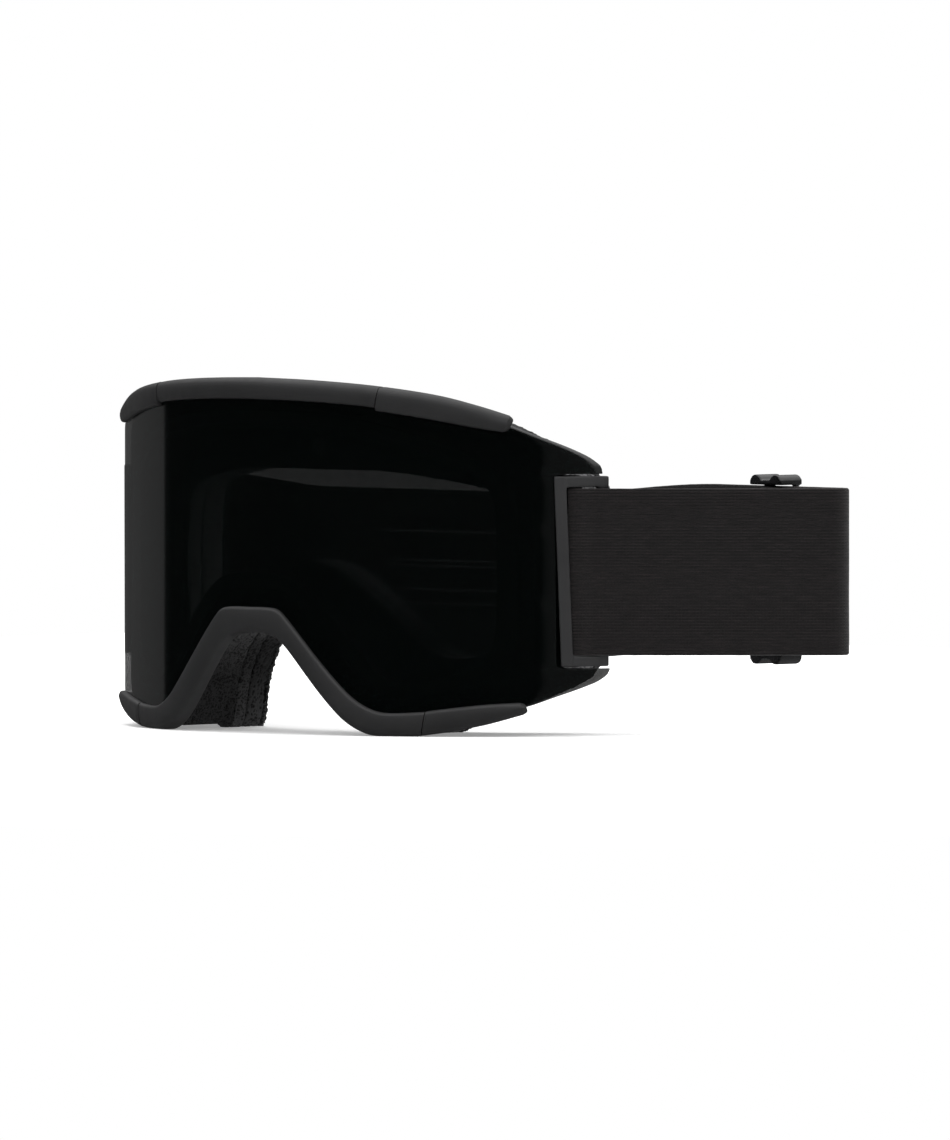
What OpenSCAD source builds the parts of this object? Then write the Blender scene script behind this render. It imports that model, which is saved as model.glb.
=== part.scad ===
// Ski goggles: cylindrical double lens, flexible frame, layered face foam and a folded elastic strap.
// X runs across the face towards the wearer's left, the lens faces -Y, and Z is up.

/* [Lens] */
// Radius of the lens's outer face, about an upright axis
lens_r = 109; // [100:1:118]
// Thickness of the outer lens
lens_t = 1.8; // [1.4:0.1:2.4]
// Thickness of the inner lens
inner_lens_t = 1; // [0.8:0.1:1.2]
// Thickness of the foam gasket that spaces the two lenses
gasket_t = 2.4; // [2:0.1:3]
// Width of the gasket's band
gasket_w = 4.5; // [3.5:0.5:6]

/* [Frame] */
// How far the middle rails stand proud of the lens
rail_proud = 1.4; // [1:0.1:2]
// How much further the rail caps stand proud
cap_step = 0.5; // [0.3:0.1:0.8]
// Thickness of the frame's tunnel wall
wall_t = 2.2; // [1.8:0.1:3]
// Thickness of the flange that carries the face foam
flange_t = 2; // [1.5:0.1:2.5]
// Radius of the face curve at the fleece
face_r = 100; // [95:1:110]
// Depth from the lens's front to the fleece, at the nose
depth = 41; // [38:1:44]

/* [Face foam] */
// Thickness of the fleece that touches the face
fleece_t = 1.6; // [1:0.2:2]
// Thickness of the soft foam
soft_t = 7.2; // [6:0.2:8]
// Thickness of the firm foam
firm_t = 5; // [4:0.5:6]

/* [Strap] */
// Width of the elastic strap
strap_w = 49.2; // [46:0.2:50]
// Thickness of the elastic strap
strap_t = 1.6; // [1.4:0.1:1.8]
// Height of the strap's middle above the surface that the goggles stand on
strap_z = 48.4; // [48:0.1:49]
// Heading of the strap where it leaves the left bracket, from +X towards +Y
near_heading = 41; // [36:1:48]
// Straight length from the left bracket to the fold
near_length = 67.5; // [60:0.5:75]
// Radius of the strap's fold
fold_r = 4.5; // [4.2:0.1:6]
// Straight length of the strap beside the right bracket
side_length = 50; // [49:1:56]
// Distance of the left adjuster beyond the fold
left_adjuster_at = 26; // [26:1:40]
// Distance of the right adjuster from the right bracket
right_adjuster_at = 34; // [33:1:35]

/* [Bracket] */
// Angle of the bracket's post round the lens, from the front
post_angle = 52; // [51:0.5:52.5]
// Distance from the post to the bracket's rear bar
bar_reach = 12.3; // [11:0.1:13]
// Radius of the rear bar
bar_r = 1.5; // [1.2:0.1:1.7]

/* [Hidden] */
$fn = 64;

gap = 0.05;              // between faces that only touch
bond = 0.1;              // a clearance that a moulding leaves round the lens
smooth_steps = 2;        // straight steps between two points of a smoothed outline
reach = 160;             // longer than any cut needs to be
rest_low = 42;           // the flat foot under each lobe runs from here
rest_high = 52;          // to here, across the face
foot_low = 36.8;         // the foam's flat foot runs from here
foot_high = 41;          // to here
gasket_r = lens_r - lens_t;
inner_lens_r = gasket_r - gasket_t;
seat_r = gasket_r - bond;
wall_front_r = inner_lens_r - inner_lens_t + bond;
face_y = face_r + depth - lens_r;
flange_r = face_r + fleece_t + soft_t + firm_t + flange_t;

// Half outlines across the front, [x, z], from the top's middle down to the nose arch.
lens_edge = [[0, 102.6], [20, 102.1], [40, 100.6], [57, 97.6], [68, 94.4], [73.4, 92.2],
    [80.5, 88.3], [86.5, 84.6], [90.4, 81], [91.8, 76.6], [92.4, 60], [92.8, 36], [92.9, 21],
    [91.6, 16.9], [88.4, 14.3], [83.6, 11.6], [77.6, 8.6], [70, 6.6], [62, 5.2], [54, 4],
    [47, 3.5], [41, 4.3], [35.6, 7.4], [29.6, 13], [22, 22], [14.6, 30.2], [9, 33.2], [0, 33.6]];
gasket_edge = [[0, 95.5], [20, 95], [38, 92.4], [52, 88.4], [64, 83.6], [71.6, 77], [74.6, 70],
    [75.4, 60], [75.4, 36], [74.4, 26], [71, 19.6], [64, 14.6], [56, 12], [49, 10.8], [43, 11.6],
    [37, 16], [30, 24], [22, 33.4], [14, 40.6], [8, 42.6], [0, 43]];
wall_edge = [[0, 97.4], [20, 96.9], [32, 95.5], [40, 93.9], [48, 90.9], [56, 87.3], [65, 82.8],
    [71.4, 78], [75.2, 72], [77, 64], [77.4, 50], [77.2, 34], [75.8, 25], [72.8, 19],
    [68.2, 14.8], [61.6, 11.2], [53.6, 7.6], [46.8, 4.6], [41.6, 2], [38.4, 1], [36, 4],
    [34, 10], [30.2, 18.4], [23.4, 28], [13, 34.2], [0, 35.4]];
aperture = [[0, 82.5], [30, 82], [50, 79.4], [64, 75.6], [72, 69], [74.6, 59], [74.6, 38],
    [72, 28], [64, 21], [50, 17.5], [42, 18], [35, 22.6], [27, 31], [19, 39], [9, 46.4], [0, 48.5]];
foam_inner = [[0, 77.3], [24, 77.2], [42, 75], [58, 71.4], [65.6, 66], [68.4, 56], [68.4, 40],
    [65.6, 31], [58, 25], [50, 22.4], [43, 23], [36, 27.4], [28, 35], [19, 42.6], [9, 48.6], [0, 50.5]];
face_edge = [[0, 98.5], [20, 98], [32, 96.6], [40, 95], [48, 92], [56, 88], [66, 83], [72, 78.2],
    [75.8, 72], [77.6, 64], [78, 50], [77.8, 34], [76.2, 25], [73, 18.4], [69, 14], [62, 10.2],
    [54, 6.6], [47, 3.6], [foot_high, 0], [foot_low, 0], [34.4, 4.6], [33, 11], [29.4, 19.4],
    [22.8, 27.8], [13, 32.8], [0, 34]];
// The rails' edges as [x, z] from the middle outwards.
top_rail_upper = [[0, 105], [20, 104.5], [40, 103.1], [57, 100.6], [68, 97.4], [73.6, 95.3],
    [75.6, 94.2], [76.4, 92.8]];
top_rail_lower = [[0, 98.7], [20, 98.3], [40, 96.9], [57, 94.1], [68, 91.7], [73, 90.9],
    [75.4, 91.2], [76.4, 92.8]];
bottom_rail_upper = [[0, 37.4], [7.6, 37.4], [11, 36.6], [15.2, 33], [24.3, 22.6], [30.7, 15.6],
    [35.8, 10.8], [40.8, 7.9], [46, 6.9], [54, 7.3], [63, 8.6], [71, 9.6], [76.4, 10.2],
    [78.6, 9.6], [79.2, 8.3]];
bottom_rail_lower = [[0, 29.8], [6.4, 29.3], [11, 27.2], [15.2, 23.3], [22.1, 15.1], [30.7, 5.7],
    [36.6, 1.6], [rest_low, 0], [rest_high, 0], [57, 0.6], [63, 1.7], [71, 3.8], [76.6, 5.6],
    [78.8, 6.8], [79.2, 8.3]];
top_seam = 43;           // where the top rail's caps begin, across the face
bottom_seam = 54.5;      // where the bottom rail's caps begin
cap_drop = 0.9;          // how much lower the top caps' lower edge is
lens_notch_x = 84.6;     // the lens is cut away outside this for the bracket
seat_notch_x = 78.6;     // and the frame's seat outside this
notch_low = 20;
notch_high = 77.2;

// ---- outlines ----
function spline(p0, p1, p2, p3, t) = 0.5 * (2 * p1 + (p2 - p0) * t
    + (2 * p0 - 5 * p1 + 4 * p2 - p3) * t * t + (3 * p1 - p0 - 3 * p2 + p3) * t * t * t);
function off_floor(q) = [q[0], max(q[1], 0)];
function smooth(p) = let(n = len(p)) concat([for (i = [0:n - 2], k = [0:smooth_steps - 1])
    off_floor(spline(p[max(i - 1, 0)], p[i], p[i + 1], p[min(i + 2, n - 1)], k / smooth_steps))],
    [p[n - 1]]);
function across(p) = [for (q = p) [-q[0], q[1]]];
function backwards(p) = [for (i = [len(p) - 1:-1:0]) p[i]];
// A half outline's closed whole, without repeating the points on the middle line.
function whole(half) = let(s = smooth(half), m = across(s))
    concat(s, [for (i = [len(m) - 2:-1:1]) m[i]]);
function between(upper, lower) = concat(smooth(upper), backwards(smooth(lower)));

// An outline whose ends are drawn in, for a layer further back than the lens's face.
function drawn_in(p) = [for (q = p) [q[0] > 70 ? 70 + (q[0] - 70) * 0.795 : q[0], q[1]]];
module outline(half) polygon(whole(half));
module ring(outer, inner) difference() {
    outline(outer);
    outline(inner);
}
// An outline moved outwards by d, or inwards if d is negative.
function edge_normal(p, i) = let(n = len(p), a = p[(i + n - 1) % n], b = p[(i + 1) % n],
    v = (b - a) / norm(b - a)) [-v[1], v[0]];
function grown(p, d) = [for (i = [0:len(p) - 1]) p[i] + d * edge_normal(p, i)];
module band(half, low, high) difference() {
    polygon(grown(whole(half), high));
    polygon(grown(whole(half), low));
}
module strip_across(low_x, high_x) both_sides()
    translate([low_x, -reach]) square([high_x - low_x, 2 * reach]);
module both_sides() {
    children();
    mirror([1, 0, 0]) children();
}
// Extrudes a front outline from the level y = back out through the front.
module through_front(back = 0) translate([0, back, 0]) rotate([90, 0, 0])
    linear_extrude(height = reach) children();
module shell(low_r, high_r, y = 0) translate([0, y, -1]) difference() {
    cylinder(r = high_r, h = reach);
    translate([0, 0, -1]) cylinder(r = low_r, h = reach + 2);
}
// The part of a shell about the lens's axis that lies behind a front outline.
module lens_layer(low_r, high_r) intersection() {
    through_front() children();
    shell(low_r, high_r);
}
// The same about the face curve's axis.
module face_layer(low_r, high_r) intersection() {
    through_front(face_y) children();
    shell(low_r, high_r, face_y);
}

// ---- the footprint's middle, which is the origin ----
function point_at(r, a) = [r * sin(a), -r * cos(a)];
function heading(a) = [cos(a), sin(a)];
post = point_at(lens_r + 0.3, post_angle);
bar = post + bar_reach * heading(post_angle + 11);
right_bar = [-bar[0], bar[1]];
wrap_r = bar_r + 0.1 + strap_t / 2;
layer = strap_t + 0.3;   // from the middle of one strap layer to the next
near_start = bar + wrap_r * heading(near_heading - 90);
fold_at = near_start + near_length * heading(near_heading) + fold_r * heading(near_heading + 90);
corner_r = 16;
adjuster_half = 6.4;     // half the adjuster's length along the strap
adjuster_out = 3.2;      // and how far it reaches outwards from the strap's middle
side_heading = 267;
side_end = right_bar + wrap_r * heading(side_heading - 90);
side_start = side_end - side_length * heading(side_heading);
corner_at = side_start + corner_r * heading(side_heading + 90);
span = corner_at - fold_at;
back_heading = atan2(span[1], span[0]) - asin((corner_r - fold_r) / norm(span));
strap_outer = strap_t / 2;
x_high = fold_at[0] + fold_r + strap_outer;
y_low = -(lens_r + rail_proud);
y_high = corner_at[1] + corner_r + strap_outer;

// ---- strap routes, seen from above ----
function arc(c, r, a, b, n) = [for (i = [0:n]) c + r * heading(a + (b - a) * i / n)];
// The strap's line from the left bracket to the right one, moved towards its inner side by off.
function fold_arc(off) = arc(fold_at, fold_r - off, near_heading - 90, back_heading - 90, 14);
function corner_arc(off) = arc(corner_at, corner_r - off, back_heading - 90, side_heading - 90, 12);
function near_point(s, off) = near_start + s * heading(near_heading) + off * heading(near_heading + 90);
function back_point(s, off) = fold_at + (fold_r - off) * heading(back_heading - 90)
    + s * heading(back_heading);
function side_point(s, off) = side_end - s * heading(side_heading) + off * heading(side_heading + 90);
// The right adjuster is what reaches furthest out on its side.
x_low = side_point(right_adjuster_at - adjuster_half, -adjuster_out)[0];
module placed() translate([-(x_low + x_high) / 2, -(y_low + y_high) / 2, 0]) children();
function turned(a) = [-a[1], a[0]];
function unit(a) = a / norm(a);
function normal_at(p, i) = turned(unit(p[min(i + 1, len(p) - 1)] - p[max(i - 1, 0)]));
module ribbon(p, t, w) translate([0, 0, strap_z - w / 2]) linear_extrude(height = w)
    polygon(concat([for (i = [0:len(p) - 1]) p[i] + t / 2 * normal_at(p, i)],
        [for (i = [len(p) - 1:-1:0]) p[i] - t / 2 * normal_at(p, i)]));

// ---- lens ----
module outer_lens() color("#0a0b0b")
    lens_layer(gasket_r, lens_r) notched(lens_notch_x) outline(lens_edge);
module lens_gasket() color("#202020") lens_layer(inner_lens_r + gap, gasket_r - gap)
    band(gasket_edge, -gasket_w, 0);
breather_r = 2.5;
breather_z = 85;
breather_angle = 12;
module at_breather(r) rotate([0, 0, breather_angle]) translate([0, -r, breather_z]) rotate([90, 0, 0])
    children();
module inner_lens() color("#101112") difference() {
    lens_layer(inner_lens_r - inner_lens_t, inner_lens_r) outline(gasket_edge);
    at_breather(lens_r - 20) cylinder(r = breather_r, h = reach);
}
module lens_breather() color("#777777") at_breather(inner_lens_r - inner_lens_t - 1) union() {
    cylinder(r = breather_r - gap, h = inner_lens_t + 1.6);
    cylinder(r = breather_r + 1.2, h = 0.8);
}

// ---- frame ----
slot_w = 11;             // a vent slot's width across
slot_pitch = 15;
module notched(x) difference() {
    children();
    both_sides() translate([x, notch_low]) square([reach, notch_high - notch_low]);
}
shelf_t = 1.5;           // the shelf behind the inner lens
module lens_seat() {
    lens_layer(wall_front_r - shelf_t, seat_r) notched(seat_notch_x) difference() {
        polygon(grown(whole(drawn_in(lens_edge)), -0.4));
        polygon(grown(whole(gasket_edge), 0.3));
    }
    lens_layer(wall_front_r - shelf_t + 0.05, wall_front_r - 0.25)
        band(gasket_edge, -1.6, 1.2);
}
module tunnel() difference() {
    intersection() {
        through_front() band(wall_edge, -wall_t, 0);
        translate([0, 0, -1]) cylinder(r = wall_front_r - shelf_t / 2, h = reach);
    }
    translate([0, face_y, -2]) cylinder(r = flange_r - 0.6, h = reach + 4);
    for (i = [-3:3]) translate([i * slot_pitch - slot_w / 2, 1.1 * i * i - 93, 84])
        cube([slot_w, 5, 20]);
}
module frame_body() color("#19191a") union() {
    lens_seat();
    tunnel();
    face_layer(flange_r - flange_t, flange_r) ring(face_edge, aperture);
}

// ---- rails ----
module across_front(upper, lower) {
    h = between(upper, lower);
    polygon(h);
    mirror([1, 0, 0]) polygon(h);
}
module rail_piece(upper, lower, proud) {
    lens_layer(lens_r + gap, lens_r + proud) intersection() {
        across_front(upper, lower);
        children();
    }
    lens_layer(wall_front_r + 0.3, lens_r + gap + 0.01) intersection() {
        difference() {
            across_front(upper, lower);
            polygon(grown(whole(lens_edge), 0.15));
        }
        children();
    }
}
module middle_of(x) translate([-x, -reach]) square([2 * x, 2 * reach]);
module left_of(x) translate([x, -reach]) square([reach, 2 * reach]);
module top_rail() color("#2c2c2d") rail_piece(top_rail_upper, top_rail_lower, rail_proud)
    middle_of(top_seam);
module top_rail_cap() color("#2e2e2f")
    rail_piece(top_rail_upper, [for (p = top_rail_lower) [p[0], p[1] - (p[0] < 75 ? cap_drop : 0)]],
        rail_proud + cap_step) left_of(top_seam + gap);
module bottom_rail() color("#2c2c2d") rail_piece(bottom_rail_upper, bottom_rail_lower, rail_proud)
    middle_of(bottom_seam);
module bottom_rail_cap() color("#2e2e2f")
    rail_piece(bottom_rail_upper, bottom_rail_lower, rail_proud + cap_step)
        left_of(bottom_seam + gap);

// ---- vent foams and face foam ----
module vent_foam_top() color("#3a3a3a") intersection() {
    face_layer(flange_r + 0.4, flange_r + 12) intersection() {
        band(wall_edge, gap, 1.2);
        middle_of(50);
        translate([-reach, 60]) square([2 * reach, reach]);
    }
    cylinder(r = wall_front_r - 4, h = reach);
}
module vent_foam_bottom() color("#3a3a3a") intersection() {
    face_layer(flange_r + 0.4, flange_r + 9) intersection() {
        band(wall_edge, gap, 1.2);
        translate([51, 0]) square([19, 22]);
    }
    cylinder(r = wall_front_r - 2, h = reach);
}
module face_foam_firm() color("#242424")
    face_layer(face_r + fleece_t + soft_t + gap, flange_r - flange_t - gap) ring(face_edge, foam_inner);
module face_foam_soft() color("#1d1d1d")
    face_layer(face_r + fleece_t + gap, face_r + fleece_t + soft_t) ring(face_edge, foam_inner);
module face_fleece() color("#2a2a2c") face_layer(face_r, face_r + fleece_t) ring(face_edge, foam_inner);

// ---- strap brackets ----
post_w = 3.6;            // the post's width round the lens
post_d = 2.8;            // the arms' thickness
post_out = 1.9;          // how far the post stands out from the lens
arm_h = 3.2;
loop_low = 20.6;         // the bracket loop's lowest and highest levels
loop_high = 76.6;
module box_between(a, b, w, low, high) translate([a[0], a[1], low])
    rotate([0, 0, atan2(b[1] - a[1], b[0] - a[0])])
    translate([0, -w / 2, 0]) cube([norm(b - a), w, high - low]);
module strap_bracket() color("#2b2b2c") union() {
    // the plate that the frame holds
    lens_layer(wall_front_r + gap, seat_r - gap)
        translate([seat_notch_x + 0.15, notch_low + 0.3])
        square([post[0] - seat_notch_x, notch_high - notch_low - 0.6]);
    // the post
    translate([post[0], post[1], loop_low]) rotate([0, 0, post_angle]) {
        translate([-post_w / 2, -post_out, 0]) cube([post_w, post_out + 0.15, loop_high - loop_low]);
        translate([0.5, 0, 0]) cube([post_w / 2 - 0.5, 3, loop_high - loop_low]);
    }
    // the arms and the rear bar
    for (z = [loop_low, loop_high - arm_h]) {
        box_between(post, bar, post_d, z, z + arm_h);
        translate([bar[0], bar[1], z]) cylinder(r = bar_r + 0.5, h = arm_h);
    }
    translate([bar[0], bar[1], loop_low + 0.5]) cylinder(r = bar_r, h = loop_high - loop_low - 1);
}

// ---- strap ----
module strap() color("#1c191a") ribbon(concat(
    [near_point(0, 0), near_point(near_length / 2, 0)], fold_arc(0), corner_arc(0),
    [side_point(side_length / 2, 0), side_point(0, 0)]), strap_t, strap_w);
converge = 10;           // how soon a tail closes on the strap
module strap_tail_left() color("#1c191a") ribbon(concat(
    arc(bar, wrap_r, near_heading - 91.5, near_heading - 270, 14),
    [near_point(converge, layer), near_point(near_length / 2, layer)],
    fold_arc(layer), [back_point(left_adjuster_at - 13, layer)]), strap_t, strap_w - 0.4);
module strap_tail_right() color("#1c191a") ribbon(concat(
    arc(right_bar, wrap_r, side_heading - 88.5, side_heading + 90, 14),
    [side_point(converge, layer), side_point(right_adjuster_at - 9.5, layer)]),
    strap_t, strap_w - 0.4);
// The sewn end that goes round the adjuster's middle bar, drawn along +X with its inner side up.
loop_bar_r = 1.2;
loop_r = loop_bar_r + 0.15 + strap_t / 2;
loop_bar_at = strap_t / 2 + 0.3 + strap_t + 0.15 + loop_bar_r;
module end_loop(leg, w) translate([0, 0, -w / 2]) linear_extrude(height = w) {
    p = concat([[-6.8, layer], [-3, layer]], arc([0, loop_bar_at], loop_r, -90, 90, 14),
        [[-3.4, loop_bar_at + loop_r - 0.7], [-7.4, 2 * layer + 0.5], [-9, 2 * layer + 0.1], [-leg, 2 * layer + 0.1]]);
    polygon(concat([for (i = [0:len(p) - 1]) p[i] + strap_t / 2 * normal_at(p, i)],
        [for (i = [len(p) - 1:-1:0]) p[i] - strap_t / 2 * normal_at(p, i)]));
}
module on_route(p, a) translate([p[0], p[1], strap_z]) rotate([0, 0, a]) children();
module strap_end_loop_left() color("#1c191a")
    on_route(back_point(left_adjuster_at, 0), back_heading) end_loop(23, strap_w - 0.4);
module strap_end_loop_right() color("#1c191a")
    on_route(side_point(right_adjuster_at, 0), side_heading + 180) mirror([0, 1, 0])
    end_loop(20, strap_w - 0.4);
module adjuster() color("#0c0c0c") {
    side = strap_w / 2 + 0.35;
    for (x = [-4.8, 4.8]) translate([x, -strap_t / 2 - 0.4 - 0.9, -side - 0.2])
        cylinder(r = 0.9, h = 2 * side + 0.4);
    translate([0, loop_bar_at, -side - 0.2]) cylinder(r = loop_bar_r, h = 2 * side + 0.4);
    for (m = [0, 1]) mirror([0, 0, m]) {
        translate([-adjuster_half, -adjuster_out, side])
            cube([2 * adjuster_half, loop_bar_at + 5.2, 1.4]);
        for (x = [-4, 4]) translate([x, -adjuster_out, side + 0.6]) rotate([-90, 0, 0])
            intersection() {
                cylinder(r = 2.4, h = loop_bar_at + 5.2);
                translate([-3, -3, 0]) cube([6, 3, 20]);
            }
    }
}
module strap_adjuster_left() on_route(back_point(left_adjuster_at, 0), back_heading) adjuster();
module strap_adjuster_right() on_route(side_point(right_adjuster_at, 0), side_heading + 180)
    mirror([0, 1, 0]) adjuster();
// Silicone lines on the strap's inner side.
bead_levels = [-9.4, -5.3, 1.8, 3.3, 12];
bead_t = 0.5;
module strap_grip_beads() color("#2b2b2d") for (z = bead_levels)
    translate([0, 0, strap_z + z - 0.5]) linear_extrude(height = 1) {
        off = strap_t / 2 + gap + bead_t / 2;
        p = [back_point(60, off), back_point(190, off)];
        polygon(concat([for (i = [0:1]) p[i] + bead_t / 2 * normal_at(p, i)],
            [for (i = [1:-1:0]) p[i] - bead_t / 2 * normal_at(p, i)]));
    }

placed() outer_lens();
placed() lens_gasket();
placed() inner_lens();
placed() lens_breather();
placed() frame_body();
placed() top_rail();
placed() top_rail_cap();  // top_rail_cap_left
placed() mirror([1, 0, 0]) top_rail_cap();  // top_rail_cap_right
placed() bottom_rail();
placed() bottom_rail_cap();  // bottom_rail_cap_left
placed() mirror([1, 0, 0]) bottom_rail_cap();  // bottom_rail_cap_right
placed() vent_foam_top();
placed() vent_foam_bottom();  // vent_foam_bottom_left
placed() mirror([1, 0, 0]) vent_foam_bottom();  // vent_foam_bottom_right
placed() face_foam_firm();
placed() face_foam_soft();
placed() face_fleece();
placed() strap_bracket();  // strap_bracket_left
placed() mirror([1, 0, 0]) strap_bracket();  // strap_bracket_right
placed() strap();
placed() strap_grip_beads();
placed() strap_tail_left();
placed() strap_tail_right();
placed() strap_end_loop_left();
placed() strap_end_loop_right();
placed() strap_adjuster_left();
placed() strap_adjuster_right();
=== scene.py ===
"""Ski goggles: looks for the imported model.

Lengths are in millimetres from the lens's upright axis, and W() turns them into the row's frame in
metres. Distances inside materials are in metres, like the texture coordinates they act on.
"""

import math

import bpy
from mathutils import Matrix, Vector, noise
from mathutils.geometry import delaunay_2d_cdt


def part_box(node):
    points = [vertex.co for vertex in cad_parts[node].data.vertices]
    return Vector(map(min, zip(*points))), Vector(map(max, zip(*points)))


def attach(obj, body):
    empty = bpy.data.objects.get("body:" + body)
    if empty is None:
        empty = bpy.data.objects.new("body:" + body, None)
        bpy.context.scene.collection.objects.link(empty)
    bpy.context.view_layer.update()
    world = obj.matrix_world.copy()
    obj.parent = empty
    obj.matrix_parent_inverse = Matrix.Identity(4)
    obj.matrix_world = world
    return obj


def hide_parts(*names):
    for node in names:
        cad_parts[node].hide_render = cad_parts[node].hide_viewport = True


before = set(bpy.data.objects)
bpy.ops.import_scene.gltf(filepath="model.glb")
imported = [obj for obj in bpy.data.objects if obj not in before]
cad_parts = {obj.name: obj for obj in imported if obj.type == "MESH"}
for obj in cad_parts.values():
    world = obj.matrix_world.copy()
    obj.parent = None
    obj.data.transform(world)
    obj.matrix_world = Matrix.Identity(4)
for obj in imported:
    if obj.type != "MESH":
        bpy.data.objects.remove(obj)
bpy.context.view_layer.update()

R = 109.0  # radius of the outer lens's face
LOW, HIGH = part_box("outer_lens")
CX, CY = (LOW.x + HIGH.x) / 2, LOW.y + R / 1000


def W(x, y, z):
    return Vector((CX + x / 1000, CY + y / 1000, z / 1000))


def ease(t):
    """Runs smoothly from 0 to 1 as t does, and stays level beyond."""
    t = max(0.0, min(1.0, t))
    return t * t * (3 - 2 * t)


# ---------------------------------------------------------------- shader helpers
MIX_A, MIX_B, MIX_RESULT = 6, 7, 2  # the colour sockets of a Mix node


def material(name):
    m = bpy.data.materials.new(name)
    m.use_nodes = True
    nt = m.node_tree
    return m, nt, nt.nodes["Principled BSDF"]


def node(nt, kind, **values):
    """A new node, with each value set on the input of that name or else on the node itself."""
    n = nt.nodes.new(kind)
    for key, v in values.items():
        if key in n.inputs:
            n.inputs[key].default_value = v
        else:
            setattr(n, key, v)
    return n


def computed(nt, kind, operation, *values):
    """A maths node fed with sockets and plain values in order."""
    n = node(nt, kind, operation=operation)
    for value, socket in zip(values, n.inputs):
        if isinstance(value, bpy.types.NodeSocket):
            nt.links.new(value, socket)
        else:
            socket.default_value = value
    return n


def number(nt, operation, *values):
    return computed(nt, "ShaderNodeMath", operation, *values).outputs[0]


def vector(nt, operation, *values):
    return computed(nt, "ShaderNodeVectorMath", operation, *values)


def split(nt, value):
    """The X, Y and Z of a vector."""
    n = nt.nodes.new("ShaderNodeSeparateXYZ")
    nt.links.new(value, n.inputs[0])
    return n.outputs


def ramp(nt, fac, stops):
    """A colour ramp. Each stop is a place and either a grey or a colour."""
    n = nt.nodes.new("ShaderNodeValToRGB")
    while len(n.color_ramp.elements) < len(stops):
        n.color_ramp.elements.new(0.5)
    for e, (at, c) in zip(n.color_ramp.elements, stops):
        e.position = at
        e.color = (*c, 1) if hasattr(c, "__len__") else (c, c, c, 1)
    nt.links.new(fac, n.inputs["Fac"])
    return n.outputs["Color"]


def fade(nt, value, start, end):
    """0 where the value is at the start, easing to 1 at the end."""
    n = node(nt, "ShaderNodeMapRange", interpolation_type="SMOOTHSTEP")
    nt.links.new(value, n.inputs["Value"])
    n.inputs["From Min"].default_value = start
    n.inputs["From Max"].default_value = end
    return n.outputs[0]


def multiply(nt, colour, by):
    n = node(nt, "ShaderNodeMix", data_type="RGBA", blend_type="MULTIPLY")
    n.inputs["Factor"].default_value = 1.0
    nt.links.new(colour, n.inputs[MIX_A])
    nt.links.new(by, n.inputs[MIX_B])
    return n.outputs[MIX_RESULT]


def coords(nt, scale=(1, 1, 1), uv=False):
    tc = nt.nodes.new("ShaderNodeTexCoord")
    mp = nt.nodes.new("ShaderNodeMapping")
    mp.inputs["Scale"].default_value = scale
    nt.links.new(tc.outputs["UV" if uv else "Object"], mp.inputs["Vector"])
    return mp.outputs["Vector"]


def noise_tex(nt, at, scale, detail=3.0, rough=0.5):
    n = node(nt, "ShaderNodeTexNoise", Scale=scale, Detail=detail, Roughness=rough)
    nt.links.new(at, n.inputs["Vector"])
    return n.outputs["Fac"]


def add_bump(nt, bsdf, height, strength, distance, before=None):
    """Bumps the surface, on top of the bump before it."""
    b = node(nt, "ShaderNodeBump", Strength=strength, Distance=distance)
    nt.links.new(height, b.inputs["Height"])
    if before is not None:
        nt.links.new(before, b.inputs["Normal"])
    nt.links.new(b.outputs["Normal"], bsdf.inputs["Normal"])
    return b.outputs["Normal"]


# ---------------------------------------------------------------- materials
def moulded(name, low, high, rough, grain, strength, spec=0.5):
    """Moulded plastic or rubber: a spark-eroded grain, a faint drift of tone and of polish."""
    tone_scale, polish_scale, grain_depth = 45, 270, 0.00006
    m, nt, bsdf = material(name)
    v = coords(nt)
    tone = noise_tex(nt, v, tone_scale, 4)
    polish = noise_tex(nt, v, polish_scale, 3)
    nt.links.new(ramp(nt, tone, [(0.3, low), (0.7, high)]), bsdf.inputs["Base Color"])
    nt.links.new(ramp(nt, polish, [(0.25, rough - 0.05), (0.75, rough + 0.06)]), bsdf.inputs["Roughness"])
    bsdf.inputs["Specular IOR Level"].default_value = spec
    add_bump(nt, bsdf, noise_tex(nt, v, grain, 2), strength, grain_depth)
    return m


RAIL = moulded("rail_plastic", (0.0152, 0.0152, 0.0159), (0.0202, 0.0202, 0.021), 0.5, 2400, 0.35)
GASKET = moulded("gasket_foam", (0.06, 0.06, 0.062), (0.12, 0.12, 0.122), 0.85, 1500, 0.9, 0.2)
GLOSS = moulded("adjuster_plastic", (0.006, 0.006, 0.0065), (0.01, 0.01, 0.011), 0.17, 700, 0.06, 0.6)
SILICONE = moulded("silicone", (0.07, 0.07, 0.072), (0.1, 0.1, 0.102), 0.35, 900, 0.2)
BREATHER = moulded("breather_disc", (0.2, 0.2, 0.2), (0.3, 0.3, 0.3), 0.7, 3000, 0.8, 0.3)
THREAD = moulded("thread", (0.02, 0.018, 0.018), (0.04, 0.037, 0.037), 0.6, 4000, 0.8, 0.3)


def lens_material(name, colour, alpha, rough):
    """Dark, see-through polycarbonate with a faintly uneven polish."""
    m, nt, bsdf = material(name)
    v = coords(nt)
    tint = ramp(nt, noise_tex(nt, v, 14, 2), [(0.3, colour), (0.7, tuple(c * 1.5 for c in colour))])
    polish = ramp(nt, noise_tex(nt, v, 30, 4), [(0.2, rough * 0.7), (0.8, rough * 1.5)])
    nt.links.new(tint, bsdf.inputs["Base Color"])
    nt.links.new(polish, bsdf.inputs["Roughness"])
    bsdf.inputs["Alpha"].default_value = alpha
    bsdf.inputs["IOR"].default_value = 1.5
    return m


LENS = lens_material("lens_smoke", (0.0006, 0.0011, 0.001), 0.815, 0.03)
INNER = lens_material("inner_lens_smoke", (0.001, 0.0014, 0.0013), 0.05, 0.05)


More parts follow.
